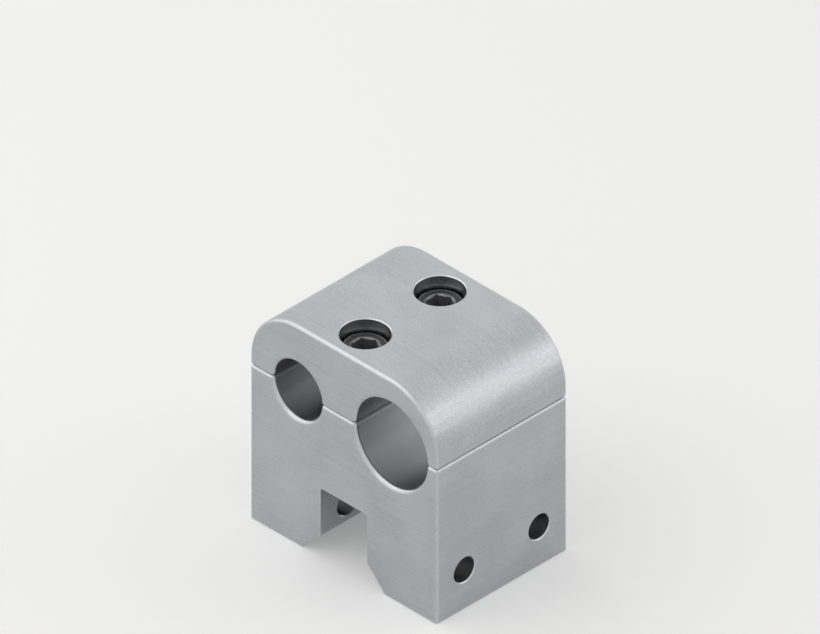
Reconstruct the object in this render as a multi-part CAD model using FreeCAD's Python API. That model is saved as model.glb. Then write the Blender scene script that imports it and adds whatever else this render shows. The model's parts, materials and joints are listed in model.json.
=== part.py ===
import FreeCAD, Part
import math
import os
from FreeCAD import Vector

# Two-bore hydraulic tube clamp, in millimetres.
# A forked base block straddles a plate and is bolted to it through its legs.
# The cap closes over two tubes of different size and is held by two socket
# head screws with washers, sunk in counterbores.
# Origin: centre of the foot. X runs across the tubes, Y along them, Z up.

# Tubes
small_tube_diameter = 25.4
large_tube_diameter = 38.1

# Walls beside the tubes, at the height where the block parts
small_side_wall = 12.3
large_side_wall = 5.95
web_wall = 2.625

# Socket head screws, M12 by 35
screw_size = 12.0
screw_length = 35.0
neck_length = 5.0
thread_relief = 0.1
thread_end_chamfer = 1.0
head_diameter = 18.0
head_height = 12.0
head_rim_chamfer = 0.5
socket_across_flats = 10.0
socket_depth = 6.0

# Washers
washer_thickness = 1.6
washer_bore_clearance = 0.75
washer_edge_chamfer = 0.2

# Screw holes, with radial clearances
head_clearance = 1.0
hole_clearance = 0.5
thread_clearance = 0.05
head_recess = 5.6
seat_height = 10.8
thread_past_screw = 3.0
hole_past_screw = 9.4
tap_drill_step = 0.85
drill_point_angle = 118.0
screw_end_distance = 15.0

# Fork that straddles the plate
slot_width = 25.0
slot_corner_radius = 1.5
lead_in = 10.0
roof_thickness = 7.0
cross_hole_diameter = 11.0
cross_hole_end_distance = 15.0
lead_in_to_cross_hole = 2.5
cross_hole_to_ceiling = 8.5

# Pitch between the two screws, and the shape of the edges
screw_spacing = 40.0
shoulder_radius = 25.0
edge_radius = 1.5
mouth_radius = 2.0
edge_break = 0.4
overcut = 0.5

# Radii
small_radius = small_tube_diameter / 2
large_radius = large_tube_diameter / 2
body_radius = screw_size / 2
thread_radius = body_radius - thread_relief
head_radius = head_diameter / 2
clearance_radius = body_radius + hole_clearance
threaded_hole_radius = thread_radius + thread_clearance
tap_drill_radius = body_radius - tap_drill_step
counterbore_radius = head_radius + head_clearance
cross_hole_radius = cross_hole_diameter / 2

# Heights above the foot
cross_hole_height = lead_in + lead_in_to_cross_hole + cross_hole_radius
ceiling_height = cross_hole_height + cross_hole_radius + cross_hole_to_ceiling
engagement = screw_length - washer_thickness - seat_height
parting_height = ceiling_height + roof_thickness + hole_past_screw + engagement
seat_level = parting_height + seat_height
head_level = seat_level + washer_thickness
top_height = head_level + head_height + head_recess

# Places across and along the block
web_width = 2 * (clearance_radius + web_wall)
block_width = (
    small_side_wall + small_tube_diameter + web_width
    + large_tube_diameter + large_side_wall
)
block_depth = screw_spacing + 2 * screw_end_distance
left_side = -block_width / 2
right_side = block_width / 2
front = -block_depth / 2
small_x = left_side + small_side_wall + small_radius
screw_x = small_x + small_radius + web_width / 2
large_x = screw_x + web_width / 2 + large_radius
screw_places = {"front": -screw_spacing / 2, "rear": screw_spacing / 2}
cross_hole_y = block_depth / 2 - cross_hole_end_distance
shoulder = min(shoulder_radius, top_height - parting_height - 2 * edge_radius)

# Allowance when an edge is told apart by where it lies
near = 0.01

UP = Vector(0, 0, 1)
ALONG = Vector(0, 1, 0)
ACROSS = Vector(1, 0, 0)


def turned(outline):
    """A solid turned about Z from corners given as (radius, height)."""
    corners = [Vector(radius, 0, height) for radius, height in outline]
    face = Part.Face(Part.makePolygon(corners + corners[:1]))
    return face.revolve(Vector(0, 0, 0), UP, 360)


def through_hole(radius, length):
    """Cutter along Z from 0 to length, with the rim broken at both ends."""
    wide = radius + edge_break + overcut
    return turned([
        (0, -overcut),
        (wide, -overcut),
        (radius, edge_break),
        (radius, length - edge_break),
        (wide, length + overcut),
        (0, length + overcut),
    ])


def prism(corners, level):
    """The outline through (x, z) corners, swept along the block's depth."""
    points = [Vector(x, front, z + level) for x, z in corners]
    face = Part.Face(Part.makePolygon(points + points[:1]))
    return face.extrude(ALONG * block_depth)


def lies_on(edge, axis, level):
    """Whether an edge lies whole in the plane where axis equals level."""
    box = edge.BoundBox
    low = {"x": box.XMin, "y": box.YMin, "z": box.ZMin}[axis]
    high = {"x": box.XMax, "y": box.YMax, "z": box.ZMax}[axis]
    return abs(low - level) < near and abs(high - level) < near


def on_end(edge):
    """Whether an edge lies in the front or the rear face."""
    return lies_on(edge, "y", front) or lies_on(edge, "y", -front)


def is_arc_of(edge, radius):
    return isinstance(edge.Curve, Part.Circle) and abs(edge.Curve.Radius - radius) < near


def bored(half):
    """Cut both tube bores along a half of the block and round their mouths."""
    for centre_x, radius in ((small_x, small_radius), (large_x, large_radius)):
        start = Vector(centre_x, front - overcut, parting_height)
        length = block_depth + 2 * overcut
        half = half.cut(Part.makeCylinder(radius, length, start, ALONG))
    mouths = [
        edge for edge in half.Edges
        if on_end(edge) and (is_arc_of(edge, small_radius) or is_arc_of(edge, large_radius))
    ]
    return half.makeFillet(mouth_radius, mouths)


def make_base():
    """Forked lower block: half of each bore, plate slot, cross holes and threads."""
    wall = slot_width / 2
    base = prism([
        (left_side, 0),
        (-wall - lead_in, 0),
        (-wall, lead_in),
        (-wall, ceiling_height),
        (wall, ceiling_height),
        (wall, lead_in),
        (wall + lead_in, 0),
        (right_side, 0),
        (right_side, parting_height),
        (left_side, parting_height),
    ], 0)
    ceiling_corners = [
        edge for edge in base.Edges
        if lies_on(edge, "z", ceiling_height) and not on_end(edge)
    ]
    base = base.makeFillet(slot_corner_radius, ceiling_corners)
    base = bored(base)
    rounded = [
        edge for edge in base.Edges
        if lies_on(edge, "z", parting_height)
        or (on_end(edge) and (lies_on(edge, "x", left_side) or lies_on(edge, "x", right_side)))
    ]
    base = base.makeFillet(edge_radius, rounded)
    broken = [edge for edge in base.Edges if is_sharp_below(edge)]
    base = base.makeChamfer(edge_break, broken)
    leg = (block_width - slot_width) / 2
    for x in (left_side, wall):
        for y in (-cross_hole_y, cross_hole_y):
            hole = through_hole(cross_hole_radius, leg)
            hole.rotate(Vector(0, 0, 0), ALONG, 90)
            hole.translate(Vector(x, y, cross_hole_height))
            base = base.cut(hole)
    for y in screw_places.values():
        hole = tapped_hole()
        hole.translate(Vector(screw_x, y, parting_height))
        base = base.cut(hole)
    return base


def is_sharp_below(edge):
    """Whether an edge of the base is one of the foot, the lead-ins or the slot mouth."""
    box = edge.BoundBox
    if box.ZMax > ceiling_height + near:
        return False
    if lies_on(edge, "z", 0):
        return True
    inside = max(abs(box.XMin), abs(box.XMax)) < slot_width / 2 + lead_in + near
    return inside and (on_end(edge) or lies_on(edge, "z", lead_in))


def tapped_hole():
    """Blind cutter below Z = 0: countersink, thread, drilled run and drill point."""
    depth = engagement + hole_past_screw
    point = tap_drill_radius / math.tan(math.radians(drill_point_angle / 2))
    thread_depth = engagement + thread_past_screw
    wide = threaded_hole_radius + edge_break
    return turned([
        (0, overcut),
        (wide + overcut, overcut),
        (threaded_hole_radius, -edge_break),
        (threaded_hole_radius, -thread_depth),
        (tap_drill_radius, -thread_depth),
        (tap_drill_radius, point - depth),
        (0, -depth),
    ])


def make_cap():
    """Upper block: the other half of each bore, round shoulders and screw seats."""
    cap = prism([
        (left_side, parting_height),
        (right_side, parting_height),
        (right_side, top_height),
        (left_side, top_height),
    ], 0)
    shoulders = [
        edge for edge in cap.Edges
        if lies_on(edge, "z", top_height) and not on_end(edge)
    ]
    cap = cap.makeFillet(shoulder, shoulders)
    cap = bored(cap)
    rounded = [
        edge for edge in cap.Edges
        if lies_on(edge, "z", parting_height) or (on_end(edge) and is_outline(edge))
    ]
    cap = cap.makeFillet(edge_radius, rounded)
    for y in screw_places.values():
        hole = counterbored_hole()
        hole.translate(Vector(screw_x, y, parting_height))
        cap = cap.cut(hole)
    return cap


def is_outline(edge):
    """Whether an end edge of the cap belongs to its outer outline."""
    return not any(is_arc_of(edge, radius + mouth_radius) for radius in (small_radius, large_radius))


def counterbored_hole():
    """Cutter up from Z = 0: clearance hole, screw seat and counterbore."""
    height = top_height - parting_height
    return turned([
        (0, -overcut),
        (clearance_radius + edge_break + overcut, -overcut),
        (clearance_radius, edge_break),
        (clearance_radius, seat_height),
        (counterbore_radius, seat_height),
        (counterbore_radius, height - edge_break),
        (counterbore_radius + edge_break + overcut, height + overcut),
        (0, height + overcut),
    ])


def make_washer():
    """Flat washer lying on Z = 0, as wide as the screw head."""
    bore = body_radius + washer_bore_clearance
    rim = head_radius
    return turned([
        (bore, 0),
        (rim - washer_edge_chamfer, 0),
        (rim, washer_edge_chamfer),
        (rim, washer_thickness - washer_edge_chamfer),
        (rim - washer_edge_chamfer, washer_thickness),
        (bore, washer_thickness),
    ])


def make_screw():
    """Socket head screw with the underside of its head on Z = 0."""
    screw = turned([
        (0, -screw_length),
        (thread_radius - thread_end_chamfer, -screw_length),
        (thread_radius, thread_end_chamfer - screw_length),
        (thread_radius, -neck_length),
        (body_radius, -neck_length),
        (body_radius, 0),
        (head_radius, 0),
        (head_radius, head_height - head_rim_chamfer),
        (head_radius - head_rim_chamfer, head_height),
        (0, head_height),
    ])
    return screw.cut(hex_socket())


def hex_socket():
    """Hexagonal cutter for a key, with two of its corners pointing along Y."""
    corner_radius = socket_across_flats / math.sqrt(3)
    floor = head_height - socket_depth
    corners = []
    for step in range(6):
        angle = math.radians(90 + 60 * step)
        corners.append(Vector(corner_radius * math.cos(angle), corner_radius * math.sin(angle), floor))
    face = Part.Face(Part.makePolygon(corners + corners[:1]))
    return face.extrude(UP * (socket_depth + overcut))


def save(name, shape):
    shape.exportStep(os.path.join("parts", name + ".step"))


os.makedirs("parts", exist_ok=True)
save("base", make_base())
save("cap", make_cap())
for place, y in screw_places.items():
    washer = make_washer()
    washer.translate(Vector(screw_x, y, seat_level))
    save("washer_" + place, washer)
    screw = make_screw()
    screw.translate(Vector(screw_x, y, head_level))
    save("screw_" + place, screw)
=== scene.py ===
import json
import math
import bpy
from mathutils import Matrix, Vector


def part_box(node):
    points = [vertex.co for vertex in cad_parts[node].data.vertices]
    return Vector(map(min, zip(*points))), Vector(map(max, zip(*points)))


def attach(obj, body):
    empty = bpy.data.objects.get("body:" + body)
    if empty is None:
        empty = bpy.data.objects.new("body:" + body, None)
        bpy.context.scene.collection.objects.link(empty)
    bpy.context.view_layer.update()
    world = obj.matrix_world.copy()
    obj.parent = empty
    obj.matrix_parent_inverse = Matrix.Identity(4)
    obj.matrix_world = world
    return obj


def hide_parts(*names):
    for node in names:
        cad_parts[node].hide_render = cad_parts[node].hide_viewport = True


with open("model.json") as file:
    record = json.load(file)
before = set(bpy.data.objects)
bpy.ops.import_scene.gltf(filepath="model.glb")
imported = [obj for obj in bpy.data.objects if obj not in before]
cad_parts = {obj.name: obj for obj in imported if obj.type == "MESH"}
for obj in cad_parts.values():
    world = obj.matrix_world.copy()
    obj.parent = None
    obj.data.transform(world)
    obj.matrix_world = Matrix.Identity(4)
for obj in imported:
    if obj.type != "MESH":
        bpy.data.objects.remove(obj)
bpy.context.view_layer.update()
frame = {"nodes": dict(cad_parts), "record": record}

# Base and cap. Both are milled from one aluminium bar, bored together while they are bolted up, then bead
# blasted and clear anodised. The base straddles its plate on two legs, and the cap closes on it along the
# middle of the bores. Their solids come with the frame, so this section gives them their finish.

MM = 0.001
counterbore_clearance = 1.0   # from a washer's edge to the wall around it
below_seat = 0.1              # takes in the seat under a washer with the wall above it

# Each round cut as its axis (0 is X, 1 is Y, 2 is Z), its centre, its radius and its lowest point, in mm.
mounts = {mount["name"]: mount for mount in frame["record"]["mounts"]}
round_cuts = []
for name, axis in (
    ("small_tube", 1), ("large_tube", 1), ("front_cross_hole", 0), ("rear_cross_hole", 0),
):
    round_cuts.append((axis, Vector(mounts[name]["pos_m"]) / MM, mounts[name]["dims"]["r_mm"], 0.0))
for name in ("washer_front", "washer_rear"):
    low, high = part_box(name)
    radius = (high.x - low.x) / 2 / MM + counterbore_clearance
    round_cuts.append((2, (low + high) / 2 / MM, radius, low.z / MM - below_seat))


def linear(colour):
    """An sRGB hex value such as "#AEB2B6" as linear red, green, blue and alpha."""
    channels = [int(colour[start:start + 2], 16) / 255 for start in (1, 3, 5)]
    return [c / 12.92 if c <= 0.04045 else ((c + 0.055) / 1.055) ** 2.4 for c in channels] + [1.0]


def add_node(tree, kind, inputs=None, **settings):
    """Adds one node with its settings. An input is a value, a socket to link from, or a node for its first
    output. A Mix node takes numbers at inputs 2 and 3, vectors at 4 and 5, which leave by output 1, and
    colours at 6 and 7, which leave by output 2."""
    node = tree.nodes.new(kind)
    for name, value in settings.items():
        setattr(node, name, value)
    for key, value in (inputs or {}).items():
        if isinstance(value, bpy.types.Node):
            value = value.outputs[0]
        if isinstance(value, bpy.types.NodeSocket):
            tree.links.new(value, node.inputs[key])
        else:
            node.inputs[key].default_value = value
    return node


def new_material(name):
    """An empty material, and its node tree."""
    material = bpy.data.materials.new(name)
    material.use_nodes = True
    material.node_tree.nodes.clear()
    return material, material.node_tree


def place_on_object(tree):
    """Where a point of the surface lies on the object, in mm."""
    coordinate = add_node(tree, "ShaderNodeTexCoord")
    return add_node(tree, "ShaderNodeVectorMath", {
        0: coordinate.outputs["Object"], "Scale": 1 / MM,
    }, operation="SCALE")


def metal_surface(tree, colour, roughness, relief, coat=None):
    """Ends a metal's tree with its shader. The colour is a Mix node, and the relief is a height in mm."""
    bump = add_node(tree, "ShaderNodeBump", {"Height": relief, "Distance": MM})
    shader = add_node(tree, "ShaderNodeBsdfPrincipled", {
        "Base Color": colour.outputs[2], "Metallic": 1.0, "Roughness": roughness, "Normal": bump,
        **(coat or {}),
    })
    add_node(tree, "ShaderNodeOutputMaterial", {"Surface": shader})


def fresh_cuts(tree, place):
    """1 in the bores, holes and counterbores, which were cut after blasting, and 0 elsewhere. With it come
    the rings that the tool's feed left there, between -1 and 1."""
    feed_pitch = 1.0     # real feed is about 0.2 mm, drawn coarser so that it shows
    cut_ends = 0.1       # between these distances from a cut its finish turns into the blasted one
    blast_starts = 0.3

    cut = 0.0
    rings = 0.0
    axes = add_node(tree, "ShaderNodeSeparateXYZ", {0: place})
    for axis, centre, radius, lowest in round_cuts:
        across = [0.0 if i == axis else 1.0 for i in range(3)]
        middle = [c * a for c, a in zip(centre, across)]
        flat = add_node(tree, "ShaderNodeVectorMath", {0: place, 1: across}, operation="MULTIPLY")
        away = add_node(tree, "ShaderNodeVectorMath", {0: flat, 1: middle}, operation="DISTANCE")
        inside = add_node(tree, "ShaderNodeMapRange", {
            "Value": away.outputs["Value"],
            "From Min": radius + blast_starts, "From Max": radius + cut_ends,
        }, interpolation_type="SMOOTHSTEP")
        deep = add_node(tree, "ShaderNodeMath", {0: axes.outputs[2], 1: lowest}, operation="GREATER_THAN")
        here = add_node(tree, "ShaderNodeMath", {0: inside, 1: deep}, operation="MULTIPLY")
        turn = add_node(tree, "ShaderNodeMath", {
            0: axes.outputs[axis], 1: 2 * math.pi / feed_pitch,
        }, operation="MULTIPLY")
        ring = add_node(tree, "ShaderNodeMath", {0: turn}, operation="SINE")
        rings = add_node(tree, "ShaderNodeMath", {0: here, 1: ring, 2: rings}, operation="MULTIPLY_ADD")
        cut = add_node(tree, "ShaderNodeMath", {0: here, 1: cut}, operation="MAXIMUM")
    return cut, rings


def rubbed_and_highlit_edges(tree, place, facing):
    """How bright the rounds along the front and rear edges are painted, spot by spot: partly rubbing from
    handling, partly a painted highlight along the rounds. There the surface turns between Y and the other
    axes."""
    spot_size = 3.0
    most_highlit = 0.8

    along = add_node(tree, "ShaderNodeMath", {0: facing.outputs["Y"]}, operation="ABSOLUTE")
    rounded = add_node(tree, "ShaderNodeMath", {0: along, 1: 0.5}, operation="PINGPONG")
    edge = add_node(tree, "ShaderNodeMapRange", {
        "Value": rounded, "From Min": 0.02, "From Max": 0.30, "To Max": most_highlit,
    }, interpolation_type="SMOOTHSTEP")
    spots = add_node(tree, "ShaderNodeTexNoise", {
        "Vector": place, "Scale": 1 / spot_size, "Detail": 5.0, "Roughness": 0.6,
    })
    return add_node(tree, "ShaderNodeMath", {0: edge, 1: spots}, operation="MULTIPLY")


def mill_passes(tree, place, facing):
    """The tone of the mill's passes, which run level on upright faces and along X on level ones."""
    pass_width = 1.6
    pass_length = 50.0
    level_from = 0.7   # the upward part of its normal, so a face counts as level up to about 45 degrees

    along = 1 / pass_length
    across = 1 / pass_width
    upright = add_node(tree, "ShaderNodeVectorMath", {
        0: place, 1: (along, along, across),
    }, operation="MULTIPLY")
    level = add_node(tree, "ShaderNodeVectorMath", {
        0: place, 1: (along, across, along),
    }, operation="MULTIPLY")
    upward = add_node(tree, "ShaderNodeMath", {0: facing.outputs["Z"]}, operation="ABSOLUTE")
    is_level = add_node(tree, "ShaderNodeMath", {0: upward, 1: level_from}, operation="GREATER_THAN")
    pass_place = add_node(tree, "ShaderNodeMix", {
        "Factor": is_level, 4: upright, 5: level,
    }, data_type="VECTOR")
    return add_node(tree, "ShaderNodeTexNoise", {
        "Vector": pass_place.outputs[1], "Scale": 1.0, "Detail": 3.0, "Roughness": 0.65,
    })


def blasted_aluminium():
    """Bead-blasted, clear-anodised aluminium: an even silky grey with a fine grain, through which the
    milling shows faintly. Bores are brighter and smoother, and show feed rings. The rounds along the front
    and rear edges are brighter and smoother too, partly rubbed and partly a painted highlight."""
    blasted_dark = linear("#9FA3A7")
    blasted_light = linear("#BEC1C4")
    milled_light = linear("#C6C9CB")
    # bare: the colour of fresh cuts, and of the painted highlight on the front and rear rounds
    bare = linear("#CACCCE")
    grain_size = 0.5       # real grain is about 0.1 mm, drawn coarser so that it shows
    grain_contrast = 2.2
    grain_height = 0.018
    patch_size = 22.0
    feed_height = 0.008
    milling_shows = 0.22
    milling_smooths = 0.08
    smooth = 0.40
    rough = 0.48
    bare_roughness = 0.30

    material, tree = new_material("Bead-blasted aluminium")
    place = place_on_object(tree)
    coordinate = add_node(tree, "ShaderNodeTexCoord")
    facing = add_node(tree, "ShaderNodeSeparateXYZ", {0: coordinate.outputs["Normal"]})
    cut, rings = fresh_cuts(tree, place)
    # The rounds along the front and rear edges: partly rubbing, partly a painted highlight.
    brightened = rubbed_and_highlit_edges(tree, place, facing)
    passes = mill_passes(tree, place, facing)
    patches = add_node(tree, "ShaderNodeTexNoise", {
        "Vector": place, "Scale": 1 / patch_size, "Detail": 3.0, "Roughness": 0.55,
    })
    grain = add_node(tree, "ShaderNodeTexNoise", {
        "Vector": place, "Scale": 1 / grain_size, "Detail": 2.0, "Roughness": 0.6,
    })

    about_zero = add_node(tree, "ShaderNodeMath", {0: grain, 1: -0.5}, operation="ADD")
    speckled = add_node(tree, "ShaderNodeMath", {
        0: about_zero, 1: grain_contrast, 2: patches,
    }, operation="MULTIPLY_ADD")
    blasted = add_node(tree, "ShaderNodeMix", {
        "Factor": speckled, 6: blasted_dark, 7: blasted_light,
    }, data_type="RGBA")
    streaks = add_node(tree, "ShaderNodeMapRange", {
        "Value": passes, "From Min": 0.35, "From Max": 0.65, "To Max": milling_shows,
    })
    streaked = add_node(tree, "ShaderNodeMix", {
        "Factor": streaks, 6: blasted.outputs[2], 7: milled_light,
    }, data_type="RGBA")
    # Fresh cuts and the painted highlight on the rounds both take the bare colour.
    bright = add_node(tree, "ShaderNodeMath", {0: cut, 1: brightened}, operation="MAXIMUM")
    colour = add_node(tree, "ShaderNodeMix", {
        "Factor": bright, 6: streaked.outputs[2], 7: bare,
    }, data_type="RGBA")

    patchy = add_node(tree, "ShaderNodeMapRange", {
        "Value": patches, "From Min": 0.3, "From Max": 0.7, "To Min": smooth, "To Max": rough,
    })
    milled = add_node(tree, "ShaderNodeMath", {
        0: passes, 1: -milling_smooths, 2: patchy,
    }, operation="MULTIPLY_ADD")
    roughness = add_node(tree, "ShaderNodeMapRange", {
        "Value": bright, "To Min": milled, "To Max": bare_roughness,
    })

    uncut = add_node(tree, "ShaderNodeMath", {0: 1.0, 1: cut}, operation="SUBTRACT")
    pitted = add_node(tree, "ShaderNodeMath", {0: grain, 1: uncut}, operation="MULTIPLY")
    pits = add_node(tree, "ShaderNodeMath", {0: pitted, 1: grain_height}, operation="MULTIPLY")
    relief = add_node(tree, "ShaderNodeMath", {
        0: rings, 1: feed_height, 2: pits,
    }, operation="MULTIPLY_ADD")
    metal_surface(tree, colour, roughness, relief)
    return material


aluminium = blasted_aluminium()
for name in ("base", "cap"):
    block = frame["nodes"][name]
    block.data.materials.clear()
    block.data.materials.append(aluminium)

# Tapped threads. The base holds two M12 threads for the screws, cut a little deeper than the screws reach.
# Each one is a thin ring inside its drilled hole, in step with its screw, so that the thread shows once the
# cap is lifted off.

THREAD_PITCH = 1.75
THREAD_SLOPE = math.tan(math.radians(30))   # flanks of a 60 degree thread
MARKS = ("thread", "knurl", "hexagon", "cone", "wear")
turned_sides = 120
sharp_angle = math.radians(30)
screw_low, screw_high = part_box("screw_front")
screw_end = screw_low.z / MM
parting_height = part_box("cap")[0].z / MM
countersink_depth = 0.4
depth_past_screw = 3.0
ring_gap = 0.02           # keeps the ring off the countersink above it and the drilled step below it
tapped_top = parting_height - countersink_depth - ring_gap
tapped_bottom = screw_end - depth_past_screw + ring_gap
tapped_crest_radius = 5.15
tapped_root_radius = 5.93
tapped_back_radius = 5.945
tapped_lead_in = 2.0
root_play = 0.10          # the roots are this much wider than the screw's crests
tapped_root_width = THREAD_PITCH / 8 + root_play
tapped_flank = THREAD_SLOPE * (tapped_root_radius - tapped_crest_radius)
tapped_crest_width = THREAD_PITCH - tapped_root_width - 2 * tapped_flank


def lathe_tree():
    """Geometry Nodes that turn an outline about Z, and the identifiers of their inputs. Marks on the
    outline's points change a row: thread rows climb by a pitch in each turn and run out at both ends, knurl
    rows are notched, hexagon rows take the key's section, and a cone mark slants such a row."""
    weld_gap = 0.001 * MM

    tree = bpy.data.node_groups.new("Turned part", "GeometryNodeTree")
    sockets = {}
    for name, kind in (
        ("Outline", "Geometry"), ("Sides", "Int"), ("Pitch", "Float"),
        ("Thread bottom", "Float"), ("Bottom radius", "Float"), ("Bottom run-out", "Float"),
        ("Thread top", "Float"), ("Top radius", "Float"), ("Top run-out", "Float"),
        ("Knurl depth", "Float"), ("Across flats", "Float"), ("Material", "Material"),
    ):
        socket = tree.interface.new_socket(name, in_out="INPUT", socket_type="NodeSocket" + kind)
        sockets[name] = socket.identifier
    tree.interface.new_socket("Turned", in_out="OUTPUT", socket_type="NodeSocketGeometry")
    given = add_node(tree, "NodeGroupInput").outputs

    # One column of the grid for each side, one more that closes the turn, and one row for each point.
    rows = add_node(tree, "GeometryNodeAttributeDomainSize", {0: given["Outline"]})
    columns = add_node(tree, "ShaderNodeMath", {0: given["Sides"], 1: 1.0}, operation="ADD")
    grid = add_node(tree, "GeometryNodeMeshGrid", {"Vertices X": columns, "Vertices Y": rows})
    index = add_node(tree, "GeometryNodeInputIndex")
    share = add_node(tree, "ShaderNodeMath", {0: index, 1: rows}, operation="DIVIDE")
    column = add_node(tree, "ShaderNodeMath", {0: share}, operation="FLOOR")
    row = add_node(tree, "ShaderNodeMath", {0: index, 1: rows}, operation="FLOORED_MODULO")
    point = add_node(tree, "GeometryNodeSampleIndex", {
        0: given["Outline"], 1: add_node(tree, "GeometryNodeInputPosition"), 2: row,
    }, data_type="FLOAT_VECTOR")
    point = add_node(tree, "ShaderNodeSeparateXYZ", {0: point}).outputs
    mark = {}
    for name in MARKS:
        stored = add_node(tree, "GeometryNodeInputNamedAttribute", {"Name": name}, data_type="FLOAT")
        mark[name] = add_node(tree, "GeometryNodeSampleIndex", {
            0: given["Outline"], 1: stored, 2: row,
        }, data_type="FLOAT")

    # Thread rows: the climb, held between the thread's ends, and the run-out to the radius at each end.
    turned = add_node(tree, "ShaderNodeMath", {0: column, 1: given["Sides"]}, operation="DIVIDE")
    climbed = add_node(tree, "ShaderNodeMath", {
        0: turned, 1: given["Pitch"], 2: point["Z"],
    }, operation="MULTIPLY_ADD")
    above = add_node(tree, "ShaderNodeMath", {0: climbed, 1: given["Thread bottom"]}, operation="MAXIMUM")
    between = add_node(tree, "ShaderNodeMath", {0: above, 1: given["Thread top"]}, operation="MINIMUM")
    height = add_node(tree, "ShaderNodeMix", {"Factor": mark["thread"], 2: point["Z"], 3: between})
    up = add_node(tree, "ShaderNodeMath", {0: height, 1: given["Thread bottom"]}, operation="SUBTRACT")
    up = add_node(tree, "ShaderNodeMath", {
        0: up, 1: given["Bottom run-out"],
    }, operation="DIVIDE", use_clamp=True)
    down = add_node(tree, "ShaderNodeMath", {0: given["Thread top"], 1: height}, operation="SUBTRACT")
    down = add_node(tree, "ShaderNodeMath", {
        0: down, 1: given["Top run-out"],
    }, operation="DIVIDE", use_clamp=True)
    radius = add_node(tree, "ShaderNodeMix", {"Factor": up, 2: given["Bottom radius"], 3: point["X"]})
    radius = add_node(tree, "ShaderNodeMix", {"Factor": down, 2: given["Top radius"], 3: radius})
    radius = add_node(tree, "ShaderNodeMix", {"Factor": mark["thread"], 2: point["X"], 3: radius})

    # Knurl rows: every other side is a notch.
    odd = add_node(tree, "ShaderNodeMath", {0: column, 1: 2.0}, operation="FLOORED_MODULO")
    notch = add_node(tree, "ShaderNodeMath", {0: odd, 1: mark["knurl"]}, operation="MULTIPLY")
    depth = add_node(tree, "ShaderNodeMath", {0: notch, 1: given["Knurl depth"]}, operation="MULTIPLY")
    radius = add_node(tree, "ShaderNodeMath", {0: radius, 1: depth}, operation="SUBTRACT")

    # Hexagon rows: the distance to the key's flat, two of whose corners lie along Y.
    angle = add_node(tree, "ShaderNodeMath", {0: turned, 1: 2 * math.pi}, operation="MULTIPLY")
    from_flat = add_node(tree, "ShaderNodeMath", {
        0: angle, 1: math.pi / 6, 2: -math.pi / 6,
    }, operation="WRAP")
    slant = add_node(tree, "ShaderNodeMath", {0: from_flat}, operation="COSINE")
    flat = add_node(tree, "ShaderNodeMath", {0: given["Across flats"], 1: 0.5}, operation="MULTIPLY")
    key_radius = add_node(tree, "ShaderNodeMath", {0: flat, 1: slant}, operation="DIVIDE")
    inward = add_node(tree, "ShaderNodeMath", {0: key_radius, 1: point["X"]}, operation="SUBTRACT")
    height = add_node(tree, "ShaderNodeMath", {
        0: inward, 1: mark["cone"], 2: height,
    }, operation="MULTIPLY_ADD")
    radius = add_node(tree, "ShaderNodeMix", {"Factor": mark["hexagon"], 2: radius, 3: key_radius})

    across = add_node(tree, "ShaderNodeMath", {0: angle}, operation="COSINE")
    along = add_node(tree, "ShaderNodeMath", {0: angle}, operation="SINE")
    place = add_node(tree, "ShaderNodeCombineXYZ", {
        "X": add_node(tree, "ShaderNodeMath", {0: across, 1: radius}, operation="MULTIPLY"),
        "Y": add_node(tree, "ShaderNodeMath", {0: along, 1: radius}, operation="MULTIPLY"),
        "Z": height,
    })
    wrapped = add_node(tree, "GeometryNodeSetPosition", {"Geometry": grid, "Position": place})

    # The surface is told where it was worn, which a notch is not, and where the socket's walls are, which
    # the
    # material paints a lighter grey: painted light that lifts them out of the socket's shade.
    proud = add_node(tree, "ShaderNodeMath", {0: 1.0, 1: notch}, operation="SUBTRACT")
    wear = add_node(tree, "ShaderNodeMath", {0: proud, 1: mark["wear"]}, operation="MULTIPLY")
    marked = add_node(tree, "GeometryNodeStoreNamedAttribute", {
        "Geometry": wrapped, "Name": "wear", "Value": wear,
    }, data_type="FLOAT", domain="POINT")
    marked = add_node(tree, "GeometryNodeStoreNamedAttribute", {
        "Geometry": marked, "Name": "forged", "Value": mark["hexagon"],
    }, data_type="FLOAT", domain="POINT")
    closed = add_node(tree, "GeometryNodeMergeByDistance", {"Geometry": marked, "Distance": weld_gap})
    real = add_node(tree, "GeometryNodeRealizeInstances", {"Geometry": closed})
    coated = add_node(tree, "GeometryNodeSetMaterial", {"Geometry": real, "Material": given["Material"]})
    add_node(tree, "NodeGroupOutput", {0: coated})
    return tree, sockets


turned_part, turned_inputs = lathe_tree()


def turn_piece(name, outline, axis, inputs):
    """A piece turned about the upright line through axis. Its outline is (radius, height, marks) in mm, and
    the lathe's inputs are lengths in mm or a material."""
    profile = bpy.data.meshes.new(name)
    profile.from_pydata([(radius * MM, 0.0, height * MM) for radius, height, marks in outline], [], [])
    for mark in MARKS:
        stored = profile.attributes.new(mark, "FLOAT", "POINT")
        stored.data.foreach_set("value", [marks.get(mark, 0.0) for radius, height, marks in outline])
    piece = bpy.data.objects.new(name, profile)
    bpy.context.scene.collection.objects.link(piece)
    lathe = piece.modifiers.new("Turned part", "NODES")
    lathe.node_group = turned_part
    lathe[turned_inputs["Sides"]] = turned_sides
    for key, value in inputs.items():
        lathe[turned_inputs[key]] = value * MM if isinstance(value, float) else value
    depsgraph = bpy.context.evaluated_depsgraph_get()
    mesh = bpy.data.meshes.new_from_object(piece.evaluated_get(depsgraph), depsgraph=depsgraph)
    piece.modifiers.remove(lathe)
    piece.data = mesh
    mesh.transform(Matrix.Translation((axis.x, axis.y, 0.0)))
    mesh.shade_smooth()
    mesh.set_sharp_from_angle(angle=sharp_angle)
    return piece


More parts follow.
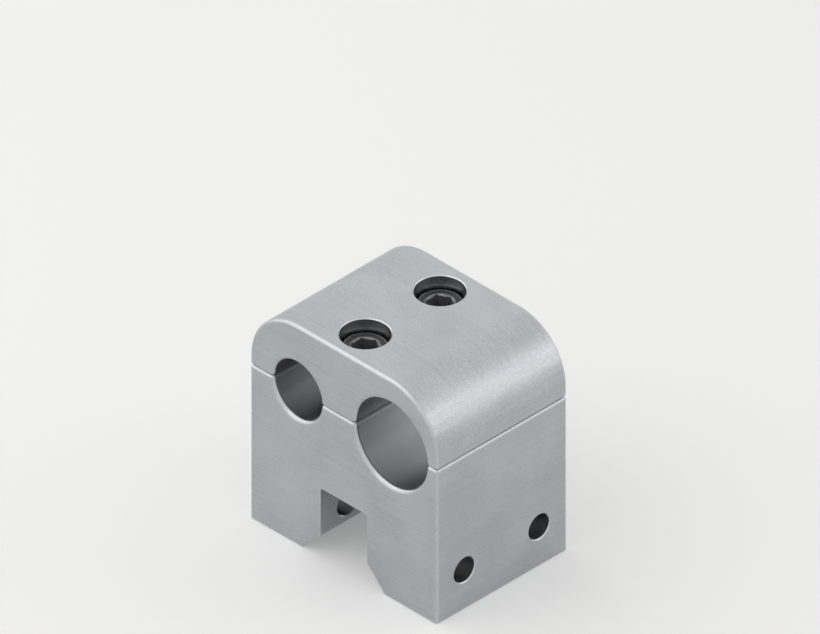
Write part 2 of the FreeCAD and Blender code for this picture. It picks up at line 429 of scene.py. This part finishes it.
def thread_rows(bottom, top, inner, outer):
    """A thread's outline going up. Its inner and outer flats are (radius, width, wear), half a pitch apart.
    It starts a turn early, because its rows climb. Every thread counts its turns from the screw's end, so
    that the screw's crests lie in the tapped roots."""
    rows = []
    turn = math.floor((bottom - screw_end) / THREAD_PITCH) - 1
    while screw_end + turn * THREAD_PITCH < top:
        start = screw_end + turn * THREAD_PITCH
        for middle, (radius, width, wear) in (
            (start + THREAD_PITCH / 8, inner), (start + THREAD_PITCH * 5 / 8, outer),
        ):
            for height in (middle - width / 2, middle + width / 2):
                rows.append((radius, height, {"thread": 1.0, "wear": wear}))
        turn += 1
    return rows


def cut_aluminium():
    """Aluminium as a tap leaves it: bright, a little torn along the thread."""
    torn = linear("#B4B7BA")
    shining = linear("#D0D2D3")
    tear_size = 0.5
    tear_height = 0.01
    smooth = 0.18
    rough = 0.42

    material, tree = new_material("Cut aluminium")
    place = place_on_object(tree)
    tears = add_node(tree, "ShaderNodeTexNoise", {
        "Vector": place, "Scale": 1 / tear_size, "Detail": 3.0,
    })
    colour = add_node(tree, "ShaderNodeMix", {"Factor": tears, 6: torn, 7: shining}, data_type="RGBA")
    roughness = add_node(tree, "ShaderNodeMapRange", {
        "Value": tears, "To Min": smooth, "To Max": rough,
    })
    relief = add_node(tree, "ShaderNodeMath", {0: tears, 1: tear_height}, operation="MULTIPLY")
    metal_surface(tree, colour, roughness, relief)
    return material


tapped_rows = thread_rows(
    tapped_bottom, tapped_top,
    (tapped_crest_radius, tapped_crest_width, 0.0), (tapped_root_radius, tapped_root_width, 0.0),
)
tapped_outline = [
    (tapped_back_radius, tapped_bottom, {}),
    (tapped_back_radius, tapped_top, {}),
] + tapped_rows[::-1] + [
    (tapped_crest_radius, tapped_bottom, {}),
    (tapped_back_radius, tapped_bottom, {}),
]
cut_metal = cut_aluminium()
for place in ("front", "rear"):
    low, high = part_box("screw_" + place)
    piece = turn_piece("tapped_thread_" + place, tapped_outline, (low + high) / 2, {
        "Pitch": THREAD_PITCH, "Material": cut_metal,
        "Thread bottom": tapped_bottom, "Bottom radius": tapped_crest_radius,
        "Bottom run-out": tapped_lead_in,
        "Thread top": tapped_top, "Top radius": tapped_back_radius,
        "Top run-out": tapped_back_radius - tapped_crest_radius,
    })
    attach(piece, "base")

# Washers. Plain flat washers, stamped from zinc-plated steel strip as wide as the screw heads. Stamping
# draws their upper edges round. They lie on the seats in the cap and go up and down with the screws.

washer_low, washer_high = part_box("washer_front")
washer_radius = (washer_high.x - washer_low.x) / 2 / MM
washer_bottom = washer_low.z / MM
washer_top = washer_high.z / MM
washer_bore_radius = 6.75
stamped_round = 0.35
lower_break = 0.08


def arc(centre, radius, start, end, wear=0.0, steps=5):
    """Outline points along an arc between two angles in degrees, all with the same wear."""
    angles = [math.radians(start + (end - start) * step / steps) for step in range(steps + 1)]
    return [
        (centre[0] + radius * math.cos(a), centre[1] + radius * math.sin(a), {"wear": wear}) for a in angles
    ]


def zinc_plate():
    """Clear zinc plating on stamped steel: silvery, a little yellow, cloudy and finely scratched."""
    silvery = linear("#B2B5B5")
    yellowish = linear("#CFCFC9")
    cloud_size = 3.0
    scratch_width = 0.25
    scratch_stretch = 10.0
    scratch_height = 0.004
    scratch_roughness = 0.12
    smooth = 0.26
    rough = 0.40

    material, tree = new_material("Zinc-plated steel")
    place = place_on_object(tree)
    clouds = add_node(tree, "ShaderNodeTexNoise", {
        "Vector": place, "Scale": 1 / cloud_size, "Detail": 4.0,
    })
    drawn = add_node(tree, "ShaderNodeVectorMath", {
        0: place, 1: (1 / scratch_stretch, 1.0, 1.0),
    }, operation="MULTIPLY")
    scratches = add_node(tree, "ShaderNodeTexNoise", {
        "Vector": drawn, "Scale": 1 / scratch_width, "Detail": 2.0,
    })
    colour = add_node(tree, "ShaderNodeMix", {
        "Factor": clouds, 6: silvery, 7: yellowish,
    }, data_type="RGBA")
    cloudy = add_node(tree, "ShaderNodeMapRange", {
        "Value": clouds, "From Min": 0.3, "From Max": 0.7, "To Min": smooth, "To Max": rough,
    })
    roughness = add_node(tree, "ShaderNodeMath", {
        0: scratches, 1: scratch_roughness, 2: cloudy,
    }, operation="MULTIPLY_ADD")
    relief = add_node(tree, "ShaderNodeMath", {0: scratches, 1: scratch_height}, operation="MULTIPLY")
    metal_surface(tree, colour, roughness, relief)
    return material


washer_outline = (
    arc((washer_radius - lower_break, washer_bottom + lower_break), lower_break, -90, 0, steps=2)
    + arc((washer_radius - stamped_round, washer_top - stamped_round), stamped_round, 0, 90)
    + arc((washer_bore_radius + stamped_round, washer_top - stamped_round), stamped_round, 90, 180)
    + arc((washer_bore_radius + lower_break, washer_bottom + lower_break), lower_break, 180, 270, steps=2)
)
washer_outline.append(washer_outline[0])
zinc = zinc_plate()
for place in ("front", "rear"):
    low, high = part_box("washer_" + place)
    piece = turn_piece("flat_washer_" + place, washer_outline, (low + high) / 2, {"Material": zinc})
    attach(piece, "washer_" + place)
    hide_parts("washer_" + place)

# Screws. M12 by 35 socket head screws, cold forged from alloy steel with the thread rolled on, hardened,
# blackened in hot salts and oiled. The side of the head is knurled for the fingers, and its socket takes a
# hexagon key.

screw_body_radius = 6.0
thread_crest_radius = 5.9
thread_root_radius = 4.93
thread_end_radius = 4.9
thread_end_length = 1.0
neck_length = 5.0
neck_step = 0.1
neck_fillet = 0.6
head_radius = (screw_high.x - screw_low.x) / 2 / MM
head_base = washer_top
head_top = screw_high.z / MM
head_edge = 0.35
head_rim = 0.6
rim_wear = 0.4     # on the head's top, how far in the rim's wear fades out
mouth_wear = 0.2   # and how far out the socket's does
knurl_margin = 0.9
knurl_run_out = 0.3
knurl_depth = 0.2
key_size = 10.0
key_depth = 6.0
key_floor_dip = 0.7
key_mouth_radius = 5.95
key_mouth_slope = math.tan(math.radians(30))
thread_top = head_base - neck_length


def black_oxide():
    """Black oxide on hardened steel, oiled: near black with a brown cast, satin, and rubbed to bare steel
    on the thread's crests, the knurl's ridges and the rims. A punch forged the socket, so its walls are
    dull; they are also painted a lighter grey, a painted light that lifts them out of the socket's shade."""
    black = linear("#2B2C2F")
    brown_black = linear("#3A3735")
    # painted light: a lighter grey on the socket's walls, so that they show in the socket's shade
    painted_socket_light = linear("#747476")
    bare_steel = linear("#8C8D8E")
    mottle_size = 4.0
    rub_size = 1.1
    least_rubbed = 0.35
    scale_size = 0.3
    scale_height = 0.006
    smooth = 0.30
    rough = 0.44
    bare_roughness = 0.24
    forged_roughness = 0.70
    oil = {"Coat Weight": 0.25, "Coat Roughness": 0.22}

    material, tree = new_material("Black oxide steel")
    place = place_on_object(tree)
    wear = add_node(tree, "ShaderNodeAttribute", attribute_name="wear").outputs["Fac"]
    forged = add_node(tree, "ShaderNodeAttribute", attribute_name="forged").outputs["Fac"]
    mottle = add_node(tree, "ShaderNodeTexNoise", {
        "Vector": place, "Scale": 1 / mottle_size, "Detail": 4.0,
    })
    rub = add_node(tree, "ShaderNodeTexNoise", {
        "Vector": place, "Scale": 1 / rub_size, "Detail": 4.0,
    })
    scale = add_node(tree, "ShaderNodeTexNoise", {
        "Vector": place, "Scale": 1 / scale_size, "Detail": 2.0,
    })
    brightened = add_node(tree, "ShaderNodeMapRange", {
        "Value": rub, "From Min": 0.36, "From Max": 0.66, "To Min": least_rubbed,
    }, interpolation_type="SMOOTHSTEP")
    bare = add_node(tree, "ShaderNodeMath", {0: wear, 1: brightened}, operation="MULTIPLY")

    oxide = add_node(tree, "ShaderNodeMix", {
        "Factor": mottle, 6: black, 7: brown_black,
    }, data_type="RGBA")
    coated = add_node(tree, "ShaderNodeMix", {
        "Factor": forged, 6: oxide.outputs[2], 7: painted_socket_light,
    }, data_type="RGBA")
    colour = add_node(tree, "ShaderNodeMix", {
        "Factor": bare, 6: coated.outputs[2], 7: bare_steel,
    }, data_type="RGBA")
    satin = add_node(tree, "ShaderNodeMapRange", {
        "Value": mottle, "From Min": 0.3, "From Max": 0.7, "To Min": smooth, "To Max": rough,
    })
    worn_satin = add_node(tree, "ShaderNodeMapRange", {
        "Value": bare, "To Min": satin, "To Max": bare_roughness,
    })
    roughness = add_node(tree, "ShaderNodeMapRange", {
        "Value": forged, "To Min": worn_satin, "To Max": forged_roughness,
    })
    relief = add_node(tree, "ShaderNodeMath", {0: scale, 1: scale_height}, operation="MULTIPLY")
    metal_surface(tree, colour, roughness, relief, coat=oil)
    return material


screw_outline = [
    (0.0, screw_end, {}),
    (thread_end_radius, screw_end, {"wear": 0.3}),
] + thread_rows(
    screw_end, thread_top,
    (thread_root_radius, THREAD_PITCH / 4, 0.0), (thread_crest_radius, THREAD_PITCH / 8, 1.0),
) + [
    (thread_crest_radius, thread_top, {}),
    (screw_body_radius, thread_top + neck_step, {"wear": 0.3}),
] + arc(
    (screw_body_radius + neck_fillet, head_base - neck_fillet), neck_fillet, 180, 90,
) + arc(
    (head_radius - head_edge, head_base + head_edge), head_edge, -90, 0, wear=0.4,
) + [
    (head_radius, head_base + knurl_margin, {"wear": 0.2}),
    (head_radius, head_base + knurl_margin + knurl_run_out, {"knurl": 1.0, "wear": 0.5}),
    (head_radius, head_top - knurl_margin - knurl_run_out, {"knurl": 1.0, "wear": 0.5}),
    (head_radius, head_top - knurl_margin, {"wear": 0.3}),
] + arc(
    (head_radius - head_rim, head_top - head_rim), head_rim, 0, 90, wear=0.8,
) + [
    (head_radius - head_rim - rim_wear, head_top, {"wear": 0.08}),
    (key_mouth_radius + mouth_wear, head_top, {"wear": 0.08}),
    (key_mouth_radius, head_top, {"wear": 0.7}),
    (key_mouth_radius, head_top, {"hexagon": 1.0, "cone": key_mouth_slope, "wear": 0.8}),
    (key_size / 2, head_top - key_depth, {"hexagon": 1.0}),
    (0.0, head_top - key_depth - key_floor_dip, {}),
]
blackened = black_oxide()
for place in ("front", "rear"):
    low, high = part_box("screw_" + place)
    piece = turn_piece("socket_screw_" + place, screw_outline, (low + high) / 2, {
        "Pitch": THREAD_PITCH, "Material": blackened,
        "Thread bottom": screw_end, "Bottom radius": thread_end_radius, "Bottom run-out": thread_end_length,
        "Thread top": thread_top, "Top radius": thread_crest_radius, "Top run-out": THREAD_PITCH,
        "Knurl depth": knurl_depth, "Across flats": key_size,
    })
    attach(piece, "screw_" + place)
    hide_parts("screw_" + place)

# Floor, room and lamps. Pale matt paper lies under the clamp in an even white room, with one large soft
# lamp high on the left and a weaker one behind on the right. None of it belongs to the object.

floor_size = 6.0
floor_lift = 0.19   # brings the paper near white to the eye and in reflections, and lights nothing
room_light = 0.55
room_white = 1.0    # what the eye and reflections see of the room
lamp_aim = Vector((0, 0, 0.05))


def seen(tree):
    """1 for what the camera sees, in a reflection or through glass too, and 0 for light cast on things."""
    ray = add_node(tree, "ShaderNodeLightPath").outputs
    mirrored = add_node(tree, "ShaderNodeMath", {
        0: ray["Is Glossy Ray"], 1: ray["Is Transmission Ray"],
    }, operation="MAXIMUM")
    return add_node(tree, "ShaderNodeMath", {0: mirrored, 1: ray["Is Camera Ray"]}, operation="MAXIMUM")


def soft_lamp(name, place, size, power):
    """A square lamp that shines from place on the middle of the clamp."""
    lamp = bpy.data.lights.new(name, "AREA")
    lamp.size = size
    lamp.energy = power
    holder = bpy.data.objects.new(name, lamp)
    holder.location = place
    holder.rotation_euler = (lamp_aim - Vector(place)).to_track_quat("-Z", "Y").to_euler()
    bpy.context.scene.collection.objects.link(holder)


bpy.ops.mesh.primitive_plane_add(size=floor_size)
floor = bpy.context.object
floor.name = "paper_floor"
paper, tree = new_material("Pale paper")
matt = add_node(tree, "ShaderNodeBsdfPrincipled", {
    "Base Color": linear("#F2F2F0"), "Roughness": 0.9, "Specular IOR Level": 0.2,
})
lift = add_node(tree, "ShaderNodeMath", {0: seen(tree), 1: floor_lift}, operation="MULTIPLY")
glow = add_node(tree, "ShaderNodeEmission", {"Strength": lift})
lifted = add_node(tree, "ShaderNodeAddShader", {0: matt, 1: glow})
add_node(tree, "ShaderNodeOutputMaterial", {"Surface": lifted})
floor.data.materials.append(paper)

world = bpy.data.worlds.new("White room")
bpy.context.scene.world = world
world.use_nodes = True
tree = world.node_tree
tree.nodes.clear()
strength = add_node(tree, "ShaderNodeMapRange", {
    "Value": seen(tree), "To Min": room_light, "To Max": room_white,
})
room = add_node(tree, "ShaderNodeBackground", {"Color": linear("#FFFFFF"), "Strength": strength})
add_node(tree, "ShaderNodeOutputWorld", {"Surface": room})

soft_lamp("key_lamp", (-0.65, -0.50, 0.80), size=1.8, power=6.0)
soft_lamp("back_lamp", (0.60, 0.55, 0.40), size=0.55, power=0.75)

# Camera. The drawing is a true isometric, so the camera has no perspective and looks along a cube's
# diagonal. The pixel where the left front corner of the foot is drawn and the drawing's scale set its place
# and the width of its view.

picture_width = 820
picture_height = 634
corner_pixel = (249.8, 517.2)
pixels_per_metre = 2642.3
camera_distance = 0.8

back = Vector((1, -1, 1)).normalized()
right = Vector((1, 1, 0)).normalized()
up = back.cross(right)
foot_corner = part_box("base")[0]
middle_right = right.dot(foot_corner) + (picture_width / 2 - corner_pixel[0]) / pixels_per_metre
middle_up = up.dot(foot_corner) + (corner_pixel[1] - picture_height / 2) / pixels_per_metre
lens = bpy.data.cameras.new("isometric_view")
lens.type = "ORTHO"
lens.ortho_scale = picture_width / pixels_per_metre
lens.clip_start = 0.01
lens.clip_end = 20.0
camera = bpy.data.objects.new("isometric_view", lens)
camera.location = right * middle_right + up * middle_up + back * camera_distance
camera.rotation_euler = back.to_track_quat("Z", "Y").to_euler()
bpy.context.scene.collection.objects.link(camera)
bpy.context.scene.camera = camera
bpy.context.scene.view_settings.view_transform = "Standard"
